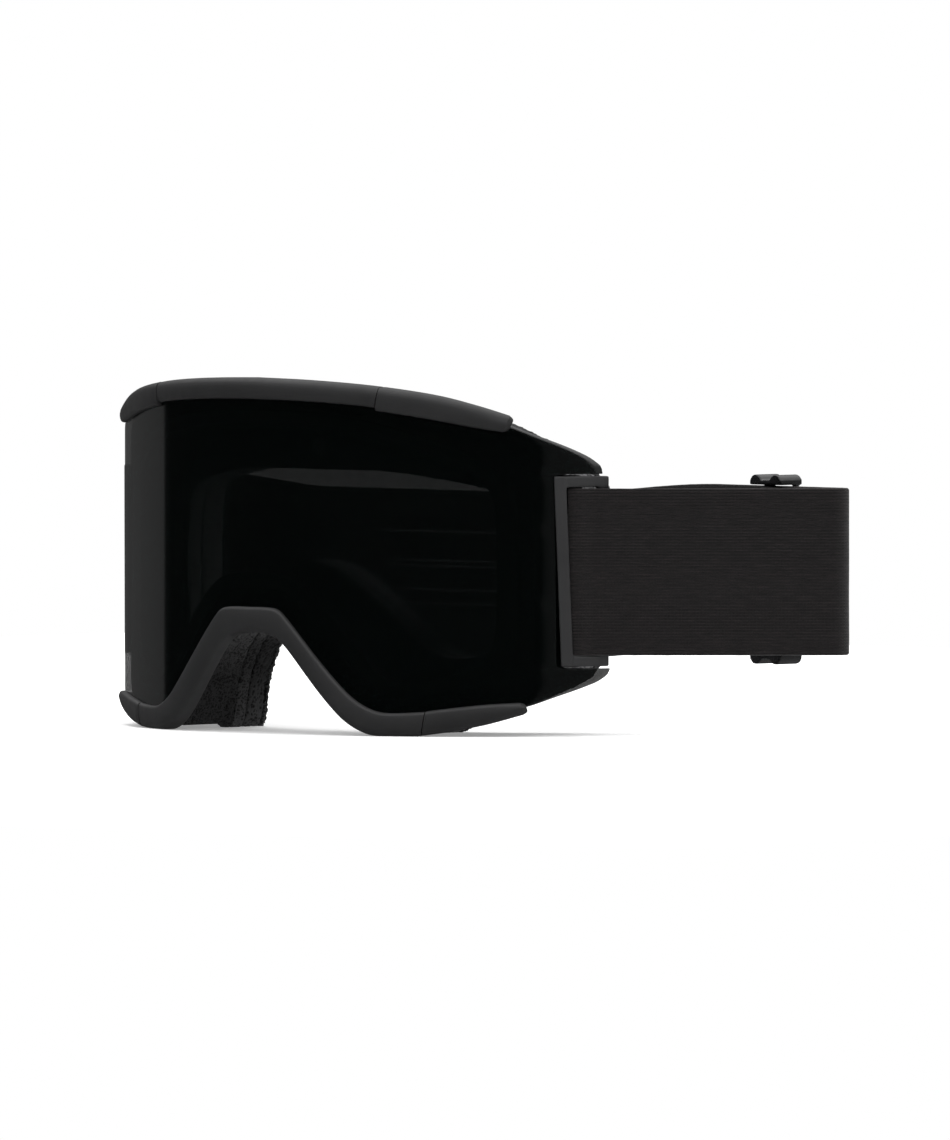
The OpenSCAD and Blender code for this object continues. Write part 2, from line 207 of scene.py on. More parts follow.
def shade(nt, colour, nose, nose_z, outside):
    """Painted shade on foam and moulding: nearly black in the nose arch and on the flanks, paler round the
    eye opening, which keeps its full colour.
    """
    arch_side, flank_side = (0.03, 0.052), (0.082, 0.067)
    tc = nt.nodes.new("ShaderNodeTexCoord")
    xyz = split(nt, tc.outputs["Object"])
    across = number(nt, "ABSOLUTE", number(nt, "SUBTRACT", xyz["X"], CX))
    arch = number(nt, "MAXIMUM", fade(nt, across, *arch_side), fade(nt, xyz["Z"], *nose_z))
    flank = fade(nt, across, *flank_side)
    # nose and outside are the factors of the painted shade in the nose arch and on the flanks.
    colour = multiply(nt, colour, ramp(nt, arch, [(0.0, nose), (1.0, 1.0)]))
    return multiply(nt, colour, ramp(nt, flank, [(0.0, outside), (1.0, 1.0)]))


def foam_material(name, low, high, cell, nose=1.0, nose_z=(0.024, 0.046), outside=1.0):
    """Open-cell foam: small round cells with darker mouths, which are painted shade in the pores, flecked
    with pale fibres.
    """
    m, nt, bsdf = material(name)
    v = coords(nt)
    mouths = node(nt, "ShaderNodeTexVoronoi", Scale=cell)
    nt.links.new(v, mouths.inputs["Vector"])
    relief = number(nt, "ADD", mouths.outputs["Distance"], noise_tex(nt, v, cell * 0.4, 4))
    fleck = tuple(min(1, c * 2.2) for c in high)
    # The dark low end of this ramp is painted shade in the cell mouths.
    cells = ramp(nt, relief, [(0.45, low), (0.85, high), (1.0, fleck)])
    # Painted shade in the nose arch and on the flanks.
    nt.links.new(shade(nt, cells, nose, nose_z, outside), bsdf.inputs["Base Color"])
    nt.links.new(ramp(nt, relief, [(0.3, 0.96), (1.0, 0.86)]), bsdf.inputs["Roughness"])
    bsdf.inputs["Specular IOR Level"].default_value = 0.06
    add_bump(nt, bsdf, relief, 0.9, 0.0004)
    return m


# After the cell size: the painted shade in the nose arch, the heights it fades over, and the painted shade
# on the flanks (outside).
FIRM = foam_material("firm_foam", (0.036, 0.036, 0.0367), (0.125, 0.125, 0.127), 1300, 0.09, outside=0.16)
SOFT = foam_material("soft_foam", (0.03, 0.03, 0.0306), (0.11, 0.11, 0.112), 1000, 0.07, outside=0.13)
VENT = foam_material("vent_foam", (0.01, 0.01, 0.0102), (0.028, 0.028, 0.0285), 750)
FRAME = foam_material("frame_flock", (0.009, 0.009, 0.0092), (0.034, 0.034, 0.0346), 1500,
                      0.3, (0.012, 0.04), 0.5)


def fleece_material():
    """Brushed fleece: matted tufts that catch the light here and there."""
    m, nt, bsdf = material("fleece")
    v = coords(nt)
    tufts = noise_tex(nt, v, 1100, 6, 0.75)
    drift = noise_tex(nt, v, 160, 4, 0.6)
    pile = number(nt, "MULTIPLY_ADD", drift, 0.45, tufts)
    dark, grey, pale = (0.006, 0.006, 0.0065), (0.024, 0.024, 0.025), (0.12, 0.12, 0.122)
    colour = ramp(nt, pile, [(0.56, dark), (0.72, grey), (0.9, pale)])
    # Painted shade in the nose arch and on the flanks.
    nt.links.new(shade(nt, colour, 0.3, (0.02, 0.046), 0.8), bsdf.inputs["Base Color"])
    nt.links.new(ramp(nt, drift, [(0.3, 0.98), (0.7, 0.86)]), bsdf.inputs["Roughness"])
    bsdf.inputs["Specular IOR Level"].default_value = 0.1
    bsdf.inputs["Sheen Weight"].default_value = 0.25
    bsdf.inputs["Sheen Roughness"].default_value = 0.4
    add_bump(nt, bsdf, pile, 1.0, 0.0007)
    return m


FLEECE = fleece_material()


def webbing_material():
    """Woven elastic: short floats in rows along the strap, with a slightly warm, uneven black."""
    m, nt, bsdf = material("webbing")
    v = coords(nt, (1000, 1000, 1), uv=True)
    floats = node(nt, "ShaderNodeTexBrick", offset=0.5, Scale=1.0)
    floats.inputs["Mortar Size"].default_value = 0.085
    floats.inputs["Mortar Smooth"].default_value = 0.9
    floats.inputs["Brick Width"].default_value = 1.05
    floats.inputs["Row Height"].default_value = 0.44
    floats.inputs["Color1"].default_value = (0.011, 0.0092, 0.0095, 1)
    floats.inputs["Color2"].default_value = (0.0074, 0.0064, 0.0068, 1)
    floats.inputs["Mortar"].default_value = (0.003, 0.0026, 0.0027, 1)
    nt.links.new(v, floats.inputs["Vector"])
    yarn = noise_tex(nt, coords(nt, (150, 2400, 1), uv=True), 1.0, 5, 0.65)
    speck = noise_tex(nt, v, 2.2, 3, 0.7)
    wave = node(nt, "ShaderNodeTexWave", bands_direction="Y", Scale=0.32, Distortion=0.25, Detail=2.0)
    nt.links.new(coords(nt, (12, 1090, 1), uv=True), wave.inputs["Vector"])
    rib = wave.outputs["Fac"]

    colour = floats.outputs["Color"]
    for fac, stops in (
        (yarn, [(0.3, (0.55, 0.55, 0.55)), (0.5, (1.0, 0.98, 0.98)), (0.7, (1.7, 1.55, 1.58))]),
        (speck, [(0.32, (0.6, 0.62, 0.6)), (0.7, (1.5, 1.4, 1.42))]),
        (rib, [(0.0, (0.5, 0.5, 0.5)), (0.35, (1.0, 1.0, 1.0)), (1.0, (1.15, 1.12, 1.12))]),
    ):
        colour = multiply(nt, colour, ramp(nt, fac, stops))
    nt.links.new(colour, bsdf.inputs["Base Color"])
    nt.links.new(ramp(nt, speck, [(0.3, 0.9), (0.7, 0.72)]), bsdf.inputs["Roughness"])
    bsdf.inputs["Specular IOR Level"].default_value = 0.25
    bsdf.inputs["Sheen Weight"].default_value = 0.12
    bsdf.inputs["Sheen Roughness"].default_value = 0.5
    bump = add_bump(nt, bsdf, yarn, 0.35, 0.0002)
    bump = add_bump(nt, bsdf, rib, 0.5, 0.00025, bump)
    add_bump(nt, bsdf, number(nt, "SUBTRACT", 1.0, floats.outputs["Fac"]), 0.6, 0.0002, bump)
    return m


WEBBING = webbing_material()


# ---------------------------------------------------------------- mesh helpers
def put(name, verts, faces, mat, body, stands_for=(), uvs=None):
    """A new piece from its points and faces."""
    me = bpy.data.meshes.new(name)
    me.from_pydata([tuple(v) for v in verts], [], faces)
    me.validate()
    if uvs:
        layer = me.uv_layers.new(name="UVMap")
        for loop in me.loops:
            layer.data[loop.index].uv = uvs[loop.vertex_index]
    return add(name, me, mat, body, stands_for)


def add(name, me, mat, body, stands_for=()):
    """A new piece from a mesh, on its body, in place of the nodes that it stands for."""
    o = bpy.data.objects.new(name, me)
    bpy.context.scene.collection.objects.link(o)
    me.materials.clear()
    me.materials.append(mat)
    me.polygons.foreach_set("use_smooth", [True] * len(me.polygons))
    me.set_sharp_from_angle(angle=math.radians(42))
    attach(o, body)
    if stands_for:
        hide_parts(*stands_for)
    return o


def roughened(me, push, grain):
    """Pushes each point in or out along its normal by up to about the push."""
    n = len(me.vertices)
    co, no = [0.0] * (3 * n), [0.0] * (3 * n)
    me.vertices.foreach_get("co", co)
    me.vertex_normals.foreach_get("vector", no)
    for i in range(0, 3 * n, 3):
        p = Vector(co[i:i + 3])
        d = (noise.fractal(p * grain, 0.6, 2.0, 3) + 0.5 * noise.noise(p * grain * 0.2)) * push / 1000
        for k in range(3):
            co[i + k] += no[i + k] * d
    me.vertices.foreach_set("co", co)


def remeshed(name, source, voxel, passes, mat, body, push=0.0, grain=0.0, shape=None):
    """A CAD node's own shape with its edges rounded off as a moulding's or cut foam's are."""
    tmp = bpy.data.objects.new("tmp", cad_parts[source].data.copy())
    bpy.context.scene.collection.objects.link(tmp)
    remesh = tmp.modifiers.new("remesh", "REMESH")
    remesh.mode = "VOXEL"
    remesh.voxel_size = voxel / 1000
    relax = tmp.modifiers.new("relax", "SMOOTH")
    relax.factor = 0.5
    relax.iterations = passes
    me = bpy.data.meshes.new_from_object(tmp.evaluated_get(bpy.context.evaluated_depsgraph_get()))
    bpy.data.objects.remove(tmp)
    if push:
        roughened(me, push, grain)
    if shape:
        for v in me.vertices:
            v.co = shape(v.co)
    me.name = name
    return add(name, me, mat, body, (source,))


def spline(p0, p1, p2, p3, t):
    """A point between p1 and p2 on a smooth curve through all four."""
    out = []
    for a, b, c, d in zip(p0, p1, p2, p3):
        square, cube = 2 * a - 5 * b + 4 * c - d, 3 * b - a - 3 * c + d
        out.append(0.5 * (2 * b + (c - a) * t + square * t * t + cube * t ** 3))
    return tuple(out)


def smooth(p, steps=4):
    """A smooth curve through the points, with so many steps from each to the next."""
    last = len(p) - 1
    out = []
    for i in range(last):
        for k in range(steps):
            out.append(spline(p[max(i - 1, 0)], p[i], p[i + 1], p[min(i + 2, last)], k / steps))
    return out + [tuple(p[-1])]


def mirrored(half):
    """A half outline and its mirror image as one loop, counter-clockwise."""
    loop = half + [(-x, z) for x, z in reversed(half[1:-1])]
    return loop[::-1]


def grown(p, d):
    """A counter-clockwise loop, moved outwards."""
    out = []
    n = len(p)
    for i in range(n):
        a, b = p[i - 1], p[(i + 1) % n]
        dx, dz = b[0] - a[0], b[1] - a[1]
        k = math.hypot(dx, dz) or 1
        out.append((p[i][0] + d * dz / k, p[i][1] - d * dx / k))
    return out


def inside(pt, loop):
    x, z = pt
    hit = False
    for i in range(len(loop)):
        (x0, z0), (x1, z1) = loop[i - 1], loop[i]
        if (z0 > z) != (z1 > z) and x < (x1 - x0) * (z - z0) / (z1 - z0) + x0:
            hit = not hit
    return hit


def in_plate(pt, loops):
    """Whether a point is inside the first loop and outside the others, which are holes."""
    return inside(pt, loops[0]) and not any(inside(pt, hole) for hole in loops[1:])


def face_points(outer, loops, r, grid):
    """Points spread evenly over a curved plate's face, clear of its edges."""
    edge = [p for loop in loops for p in loop]
    clear = grid * 0.55
    span = math.asin(min(0.98, max(abs(x) for x, z in outer) / r))
    columns = max(2, int(span * r * 2 / grid))
    low, high = min(z for x, z in outer), max(z for x, z in outer)
    points = []
    for i in range(columns + 1):
        x = r * math.sin(-span + 2 * span * i / columns)
        z = low + (i % 2) * grid / 2
        while z < high:
            near_edge = any((x - q[0]) ** 2 + (z - q[1]) ** 2 < clear * clear for q in edge)
            if in_plate((x, z), loops) and not near_edge:
                points.append((x, z))
            z += grid
    return points


def on_cylinder(x, z, r):
    return W(x, -math.sqrt(r * r - x * x), z)


def plate(name, outer, holes, r_in, r_out, bevel, grid, mat, node_name):
    """A curved plate between two radii, cut to outlines in the front view, with rounded rims."""
    rims = [(outer, -1)] + [(hole, 1) for hole in holes]
    loops = [grown(p, sign * bevel) for p, sign in rims]
    points, edges = [], []
    for loop in loops:
        base = len(points)
        points += loop
        edges += [(base + i, base + (i + 1) % len(loop)) for i in range(len(loop))]
    points += face_points(outer, loops, r_out, grid)
    flat, _, cells, origin, *_ = delaunay_2d_cdt([Vector(p) for p in points], edges, [], 0, 1e-6)

    def middle(cell):
        return sum(flat[i][0] for i in cell) / 3, sum(flat[i][1] for i in cell) / 3

    tris = [tuple(cell) for cell in cells if in_plate(middle(cell), loops)]
    count = len(flat)
    verts = [on_cylinder(v[0], v[1], r) for r in (r_out, r_in) for v in flat]
    faces = tris + [tuple(count + i for i in reversed(t)) for t in tris]
    lookup = {given: i for i, group in enumerate(origin) for given in group}
    start = 0
    for (p, sign), loop in zip(rims, loops):
        first = [lookup[start + i] for i in range(len(loop))]
        start += len(loop)
        rings = [first]
        for k, r, inward in [(k, r_out, -1) for k in (1, 2, 3)] + [(k, r_in, 1) for k in (3, 2, 1)]:
            a = math.pi / 2 * k / 3
            r_here = r + inward * bevel * (1 - math.cos(a))
            base = len(verts)
            verts += [on_cylinder(x, z, r_here) for x, z in grown(p, sign * bevel * (1 - math.sin(a)))]
            rings.append([base + i for i in range(len(p))])
        rings.append([count + i for i in first])
        for a, b in zip(rings, rings[1:]):
            for i in range(len(p)):
                j = (i + 1) % len(p)
                quad = (a[i], b[i], b[j], a[j])
                faces.append(quad if sign < 0 else quad[::-1])
    put(name, verts, faces, mat, "goggles", (node_name,))


def tube_faces(rows):
    """Quads between successive closed rows of vertex numbers, and a face over each end."""
    faces = []
    for a, b in zip(rows, rows[1:]):
        n = len(a)
        faces += [(a[i], a[(i + 1) % n], b[(i + 1) % n], b[i]) for i in range(n)]
    return faces + [tuple(reversed(rows[0])), tuple(rows[-1])]


# ---------------------------------------------------------------- lenses
# Half outlines in the front view, from the middle of the top edge round to the middle of the nose arch.
LENS_EDGE = [
    (0, 102.6), (20, 102.1), (40, 100.6), (57, 97.6), (68, 94.4), (73.4, 92.2), (80.5, 88.3), (86.5, 84.6),
    (90.4, 81), (91.8, 76.6), (92.4, 60), (92.8, 36), (92.9, 21), (91.6, 16.9), (88.4, 14.3), (83.6, 11.6),
    (77.6, 8.6), (70, 6.6), (62, 5.2), (54, 4), (47, 3.5), (41, 4.3), (35.6, 7.4), (29.6, 13), (22, 22),
    (14.6, 30.2), (9, 33.2), (0, 33.6)]
GASKET_EDGE = [
    (0, 95.5), (20, 95), (38, 92.4), (52, 88.4), (64, 83.6), (71.6, 77), (74.6, 70), (75.4, 60), (75.4, 36),
    (74.4, 26), (71, 19.6), (64, 14.6), (56, 12), (49, 10.8), (43, 11.6), (37, 16), (30, 24), (22, 33.4),
    (14, 40.6), (8, 42.6), (0, 43)]
NOTCH_X, NOTCH_LOW, NOTCH_HIGH = 84.6, 20.0, 77.2
LENS_T, INNER_T, GAP_T, GASKET_W = 1.8, 1.0, 2.4, 4.5


def notched(half):
    """The lens's half outline with the bracket's notch cut out of its side."""
    x, low, high = NOTCH_X, NOTCH_LOW, NOTCH_HIGH
    points = smooth(half)
    above = [p for p in points if p[1] >= high + 0.02]
    below = [p for p in points if p[1] < 50 and (p[1] < low - 0.02 or p[0] <= x)]
    upper_corner = [(x + 1.2, high), (x + 0.35, high - 0.35), (x, high - 1.2)]
    lower_corner = [(x, low + 1.2), (x + 0.35, low + 0.35), (x + 1.2, low)]
    notch = upper_corner + [(x, 60), (x, 40)] + lower_corner
    return above + [(above[-1][0], high)] + notch + [(below[0][0], low)] + below


def lenses():
    back = R - LENS_T
    inner_front = R - LENS_T - GAP_T
    gasket = mirrored(smooth(GASKET_EDGE))
    plate("lens_outer", mirrored(notched(LENS_EDGE)), [], back, R, 0.35, 3.2, LENS, "outer_lens")
    plate("lens_inner", gasket, [], inner_front - INNER_T, inner_front, 0.2, 3.6, INNER,
          "inner_lens")
    plate("gasket", gasket, [grown(gasket, -GASKET_W)], inner_front + 0.05, back - 0.05, 0.5, 3.0, GASKET,
          "lens_gasket")


lenses()

# ---------------------------------------------------------------- rails
# Matched points on the rail's outer edge and its inner edge, from the middle outwards.
TOP = [
    ((0, 105), (0, 98.7)), ((20, 104.5), (19.6, 98.3)), ((40, 103.1), (39, 97)), ((57, 100.6), (55.6, 94.4)),
    ((68, 97.4), (66.4, 92)), ((76.4, 94), (74.8, 90.3))]
BOTTOM = [
    ((0, 29.8), (0, 37.4)), ((4.6, 29.6), (6.8, 37.4)), ((8.4, 28.7), (10.9, 36.7)),
    ((11.6, 26.9), (13.9, 34.2)), ((15.2, 23.3), (18.6, 29.1)), ((20.6, 16.9), (24.3, 22.6)),
    ((26, 10.6), (30.7, 15.6)), ((31.4, 5.1), (35.8, 10.8)), ((36.6, 1.6), (40.8, 7.9)),
    ((42, 0), (45.4, 6.9)), ((52, 0), (53.6, 7.2)), ((57, 0.6), (57.6, 7.8)), ((63, 1.7), (63.2, 8.6)),
    ((71, 3.8), (71, 9.6)), ((79.2, 6.9), (78.4, 10.1))]
PROUD, CAP = 1.4, 0.5  # how far a rail stands out from the lens, and how much further its end parts do
END_ROUND = 1.7
SEAT, SHELF = R + 0.05, 104.35  # radii of the section's face on the lens and of its back edge
QUARTER = math.pi / 2


def stations(rail):
    """The rail's matched points, smoothed, with none left of the middle or below the ground."""
    outer, inner = smooth([p[0] for p in rail], 5), smooth([p[1] for p in rail], 5)
    return [((max(u[0], 0), max(u[1], 0)), (max(v[0], 0), max(v[1], 0))) for u, v in zip(outer, inner)]


def between(a, b, t):
    """The station part of the way from one to another."""
    return tuple(tuple(p + (q - p) * t for p, q in zip(m, n)) for m, n in zip(a, b))


def cut_rail(all_stations, x0, x1):
    """The stations between two distances across the face, with exact ends."""
    out = []
    for before, here in zip([None] + all_stations, all_stations):
        def cut_at(x):
            if before and before[0][0] < x < here[0][0]:
                out.append(between(before, here, (x - before[0][0]) / (here[0][0] - before[0][0])))

        cut_at(x0)
        if x0 <= here[0][0] <= x1:
            out.append(here)
        cut_at(x1)
    return out


def section(w, proud, lip):
    """The rail's section as (how far from its outer edge, radius) round a closed loop."""
    top = R + proud
    inner_round, outer_round = min(1.1, proud * 0.8), min(2.3, w * 0.4)
    pts = [(w, SEAT), (w, top - inner_round)]
    pts += [(w - inner_round * (1 - math.cos(a)), top - inner_round * (1 - math.sin(a)))
            for a in (0.5, 1.05, QUARTER)]
    pts += [(w * 0.62, top + 0.14), (w * 0.45, top + 0.1)]
    pts += [(outer_round * (1 - math.sin(a)), top - outer_round * (1 - math.cos(a)))
            for a in (0, 0.4, 0.8, 1.2, QUARTER)]
    return pts + [(0, 105.2), (0.25, 104.6), (0.8, SHELF), (lip, SHELF), (lip, SEAT)]


def sweep(name, path, proud, lip, node_name, mirror=1):
    """The rail's section swept along stations, each given with how wide and how tall it is there."""
    rows, verts = [], []
    for (u, v), wide, tall in path:
        du = (v[0] - u[0], v[1] - u[1])
        w = math.hypot(*du)
        row = []
        for f, r in section(w, proud, lip):
            f = w / 2 + (f - w / 2) * wide
            r = R + (r - R) * tall if r > R else r + (R - 0.05 - r) * (1 - tall) * 0.9
            x, z = u[0] + du[0] * f / w, u[1] + du[1] * f / w
            t = math.asin(max(-1, min(1, x / R))) * mirror
            row.append(len(verts))
            verts.append(W(r * math.sin(t), -r * math.cos(t), max(z, 0.0)))
        rows.append(row)
    faces = tube_faces(rows)
    if mirror < 0:
        faces = [tuple(reversed(f)) for f in faces]
    put(name, verts, faces, RAIL, "goggles", (node_name,))


def both_ways(half):
    """A half rail's stations run from one side to the other, all at full size."""
    other = [tuple((-p[0], p[1]) for p in s) for s in reversed(half[1:])]
    return [(s, 1, 1) for s in other + half]


def round_ended(half):
    """An end part's stations, rounded off at its far end and a little at the seam."""
    last, before = half[-1], half[-2]
    step = math.hypot(last[0][0] - before[0][0], last[0][1] - before[0][1])
    path = [(s, 1.0, 1.0) for s in half[:-1]]
    for a in (0.0, 0.35, 0.7, 1.0, 1.25, 1.45):
        inset = END_ROUND * (1 - math.sin(a))
        wide, tall = 1 - 0.55 * (1 - math.cos(a)), math.cos(a) ** 0.5
        path.append((between(last, before, min(inset / step, 0.98)), wide, tall))
    start, second = path[0][0], path[1][0]
    return [(start, 0.93, 0.45), (between(start, second, 0.12), 0.985, 0.85)] + path[1:]


# Each rail's points, where its middle part ends and its end parts start, its lip, and how much narrower
# the end parts are.
RAILS = {"top": (TOP, 42.9, 43.05, 2.3, 0.85), "bottom": (BOTTOM, 54.3, 54.5, 3.0, 0)}
PAST_THE_END = 99

for place, (points, seam, _, lip, _) in RAILS.items():
    middle = both_ways(cut_rail(stations(points), -1, seam))
    sweep(f"rail_{place}_middle", middle, PROUD, lip, f"{place}_rail")
for side, mirror in (("left", 1), ("right", -1)):
    for place, (points, _, start, lip, narrower) in RAILS.items():
        end = [(u, (v[0], v[1] - narrower)) for u, v in cut_rail(stations(points), start, PAST_THE_END)]
        name = f"rail_{place}_cap_{side}"
        sweep(name, round_ended(end), PROUD + CAP, lip, f"{place}_rail_cap_{side}", mirror)

# ---------------------------------------------------------------- frame, foam and brackets
# Each layer of foam: its name, node, slot and material, its voxel when quick and in full, how many times
# it is smoothed, how rough its surface is and at what grain, and how full it is.
LAYERS = (
    ("foam_firm", "face_foam_firm", "firm_foam", FIRM, 1.2, 0.8, 3, 0.22, 800, 1.0),
    ("foam_soft", "face_foam_soft", "soft_foam", SOFT, 1.2, 0.8, 6, 0.34, 600, 0.9),
    ("fleece_layer", "face_fleece", "fleece", FLEECE, 0.8, 0.55, 4, 0.45, 1100, 0.9),
) + tuple(
    ("vent_pad_" + place, "vent_foam_" + place, "vent_foam", VENT, 0.4, 0.4, 2, 0.08, 1500, 0.9)
    for place in ("top", "bottom_left", "bottom_right")
)
remeshed("frame_moulding", "frame_body", 0.7, 2, FRAME, "goggles")
for name, source, slot, mat, quick, full, passes, push, grain, fill in LAYERS:
    pad = remeshed(name, source, full, passes, mat, "goggles", push, grain)

POST_ANGLE = math.radians(52)  # how far round from the front the bracket's post stands
POST_REACH = math.radians(5.5)  # how far from the post its lean dies away
POST_LEAN = math.radians(0.62)
BRACKET_Z, BRACKET_HALF = 48.6, 28


def bracket_material():
    """The rail's plastic, with the web behind the post lost in its own shade."""
    m = moulded("bracket_plastic", (0.024, 0.024, 0.025), (0.031, 0.031, 0.032), 0.42, 2600, 0.3)
    nt = m.node_tree
    bsdf = nt.nodes["Principled BSDF"]
    colour = bsdf.inputs["Base Color"].links[0].from_socket
    tc = nt.nodes.new("ShaderNodeTexCoord")
    from_axis = vector(nt, "SUBTRACT", tc.outputs["Object"], (CX, CY, BRACKET_Z / 1000)).outputs["Vector"]
    level = vector(nt, "MULTIPLY", from_axis, (1, 1, 0)).outputs["Vector"]
    radius = vector(nt, "LENGTH", level).outputs["Value"]
    height = number(nt, "ABSOLUTE", split(nt, from_axis)["Z"])
    lit = number(nt, "MAXIMUM", fade(nt, radius, 0.1076, 0.1088), fade(nt, height, 0.0244, 0.0252))
    nt.links.new(multiply(nt, colour, ramp(nt, lit, [(0.0, 0.12), (1.0, 1.0)])), bsdf.inputs["Base Color"])
    nt.links.new(ramp(nt, lit, [(0.0, 0.8), (1.0, 0.44)]), bsdf.inputs["Roughness"])
    return m


def leaning(co):
    """The bracket's post leans with the edge of the lens and is blended down towards its surface."""
    x, y, z = (co.x - CX) * 1000, (co.y - CY) * 1000, co.z * 1000
    t, r = math.atan2(abs(x), -y), math.hypot(x, y)
    if r > R:
        r = R + (r - R) * (0.5 if x > 0 else 0.12)
    t += POST_LEAN * (BRACKET_Z - z) / BRACKET_HALF * ease(1 - abs(t - POST_ANGLE) / POST_REACH)
    return W(math.copysign(r * math.sin(t), x), -r * math.cos(t), z)


BRACKET = bracket_material()
for side in ("left", "right"):
    remeshed("bracket_" + side, "strap_bracket_" + side, 0.45, 5, BRACKET, "goggles",
             shape=leaning)
    remeshed("adjuster_" + side, "strap_adjuster_" + side, 0.3, 4, GLOSS, "adjuster_" + side)
remeshed("breather", "lens_breather", 0.2, 2, BREATHER, "goggles")

# ---------------------------------------------------------------- the strap's route, seen from above
T, STRAP_W, Z = 1.4, 49.2, 48.4  # the webbing's thickness and width, and the height of its middle
TAIL_W = STRAP_W - 0.4
LAYER = T + 0.3  # from the middle of one layer to the middle of the next
SEWN = 2 * LAYER + 0.1  # how far off the strap the sewn end of a tail lies


def h(a):
    """The direction at a heading in degrees."""
    return Vector((math.cos(math.radians(a)), math.sin(math.radians(a))))


# Headings of the stretch along the near side and of the one along the far side.
NEAR, SIDE = 41.0, 267.0
NEAR_LEN, SIDE_LEN, FOLD_R, CORNER_R = 67.5, 50.0, 4.5, 16.0
POST = 109.3 * Vector((math.sin(POST_ANGLE), -math.cos(POST_ANGLE)))
OUT = POST.normalized()
BAR = POST + 12.3 * h(63)
RIGHT_BAR = Vector((-BAR.x, BAR.y))
WRAP = 1.6 + T / 2  # from the middle of a bracket's bar to the middle of the webbing round it
NEAR_START = BAR + WRAP * h(NEAR - 90)
FOLD = NEAR_START + NEAR_LEN * h(NEAR) + FOLD_R * h(NEAR + 90)
SIDE_END = RIGHT_BAR + WRAP * h(SIDE - 90)
CORNER = SIDE_END - SIDE_LEN * h(SIDE) + CORNER_R * h(SIDE + 90)
SPAN = CORNER - FOLD
BACK = math.degrees(math.atan2(SPAN.y, SPAN.x) - math.asin((CORNER_R - FOLD_R) / SPAN.length))
TURN = CORNER + CORNER_R * h(BACK - 90)
LEFT_AT, RIGHT_AT = 26.0, 34.0  # where the adjusters are, along the back and the side
SAG, SAG_START, SAG_RUN, SAG_END = 4.2, 50, 72, 31


def near(s, off):
    return NEAR_START + s * h(NEAR) + off * h(NEAR + 90)


def back(s, off):
    return FOLD + (FOLD_R - off) * h(BACK - 90) + s * h(BACK)


def beside(s, off):
    return SIDE_END - s * h(SIDE) + off * h(SIDE + 90)


def arc(c, r, a, b, n):
    return [c + r * h(a + (b - a) * i / n) for i in range(n + 1)]


def line(a, b):
    """Points from one place towards another, without the last."""
    n = max(1, int((b - a).length / 1.6))
    return [a + (b - a) * i / n for i in range(n)]


def eased(points, n):
    """A smooth curve through a few points."""
    return [Vector(p) for p in smooth([tuple(p) for p in points], n)]


def sag(p):
    """How far the slack back of the strap hangs below its ends."""
    start = back(0, 0)
    along, off = (p - start).dot(h(BACK)), abs((p - start).dot(h(BACK + 90)))
    if along < (TURN - start).length:
        return SAG * ease((along - SAG_START) / SAG_RUN) if off < 5 else 0.0
    return SAG * (1 - ease((p - TURN).length / SAG_END))


# ---------------------------------------------------------------- webbing
def webbing_section(width):
    """Points (up, out) round webbing with rounded selvages."""
    half, q = width / 2, T / 2
    across = [-half + q] + [(-half + q) + (width - 2 * q) * k / 10 for k in range(1, 10)] + [half - q]
    selvage = [(q * math.sin(a), q * math.cos(a)) for a in (0.6, 1.2, 1.94, 2.54)]
    outside = [(up, q) for up in across] + [(half - q + up, out) for up, out in selvage]
    return outside + [(up, -q) for up in reversed(across)] + [(-half + q - up, -out) for up, out in selvage]


def ribbon(name, path, width, body, node_name, seed=0.0, wave=0.06, sags=False):
    """Webbing swept along a path seen from above, with a slightly uneven edge."""
    n = len(path)
    rows, verts, uvs = [], [], []
    s = 0.0
    selvage = width / 2 - 1
    for i, p in enumerate(path):
        if i:
            s += (p - path[i - 1]).length
        d = (path[min(i + 1, n - 1)] - path[max(i - 1, 0)]).normalized()
        normal = Vector((-d.y, d.x))
        thick = 0.55 + 0.45 * (1 - abs(2 * i / (n - 1) - 1) ** 40)
        middle = Z - (sag(p) if sags else 0.0)
        row = []
        for up, off in webbing_section(width):
            wobble = wave * noise.noise(Vector((s * 0.12 + seed, up * 0.08, seed)))
            lift = 0.0
            if abs(up) > selvage:
                lift = 0.05 * noise.noise(Vector((s * 0.9, (1 if up > 0 else 7) + seed, 3.0)))
            v = p + normal * (off * thick + wobble)
            row.append(len(verts))
            verts.append(W(v.x, v.y, middle + up + lift))
            uvs.append((s / 1000, (up + 40) / 1000))
        rows.append(row)
    o = put(name, verts, tube_faces(rows), WEBBING, body, (node_name,), uvs)


def strap():
    """One length from under the left bracket's post, round the fold and the corner, to the right bracket."""
    under_post = POST + 1.6 * h(54) - 0.9 * OUT
    past_post = POST + 4.6 * h(54) - 0.1 * OUT
    path = eased([under_post, past_post, near(-2.6, -0.05), near(1.5, 0)], 5)[:-1]
    path += line(near(1.5, 0), near(NEAR_LEN, 0)) + arc(FOLD, FOLD_R, NEAR - 90, BACK - 90, 20)[:-1]
    path += line(back(0, 0), TURN) + arc(CORNER, CORNER_R, BACK - 90, SIDE - 90, 24)[:-1]
    path += line(beside(SIDE_LEN, 0), beside(0.1, 0)) + [beside(0.1, 0)]
    ribbon("strap_webbing", path, STRAP_W, "goggles", "strap", sags=True)


def settling(along):
    """A tail coming off its bar and down on to the strap."""
    return eased([along(0.5, 2 * WRAP - 0.05), along(4, 3.2), along(8, LAYER + 0.35), along(14, LAYER)], 6)


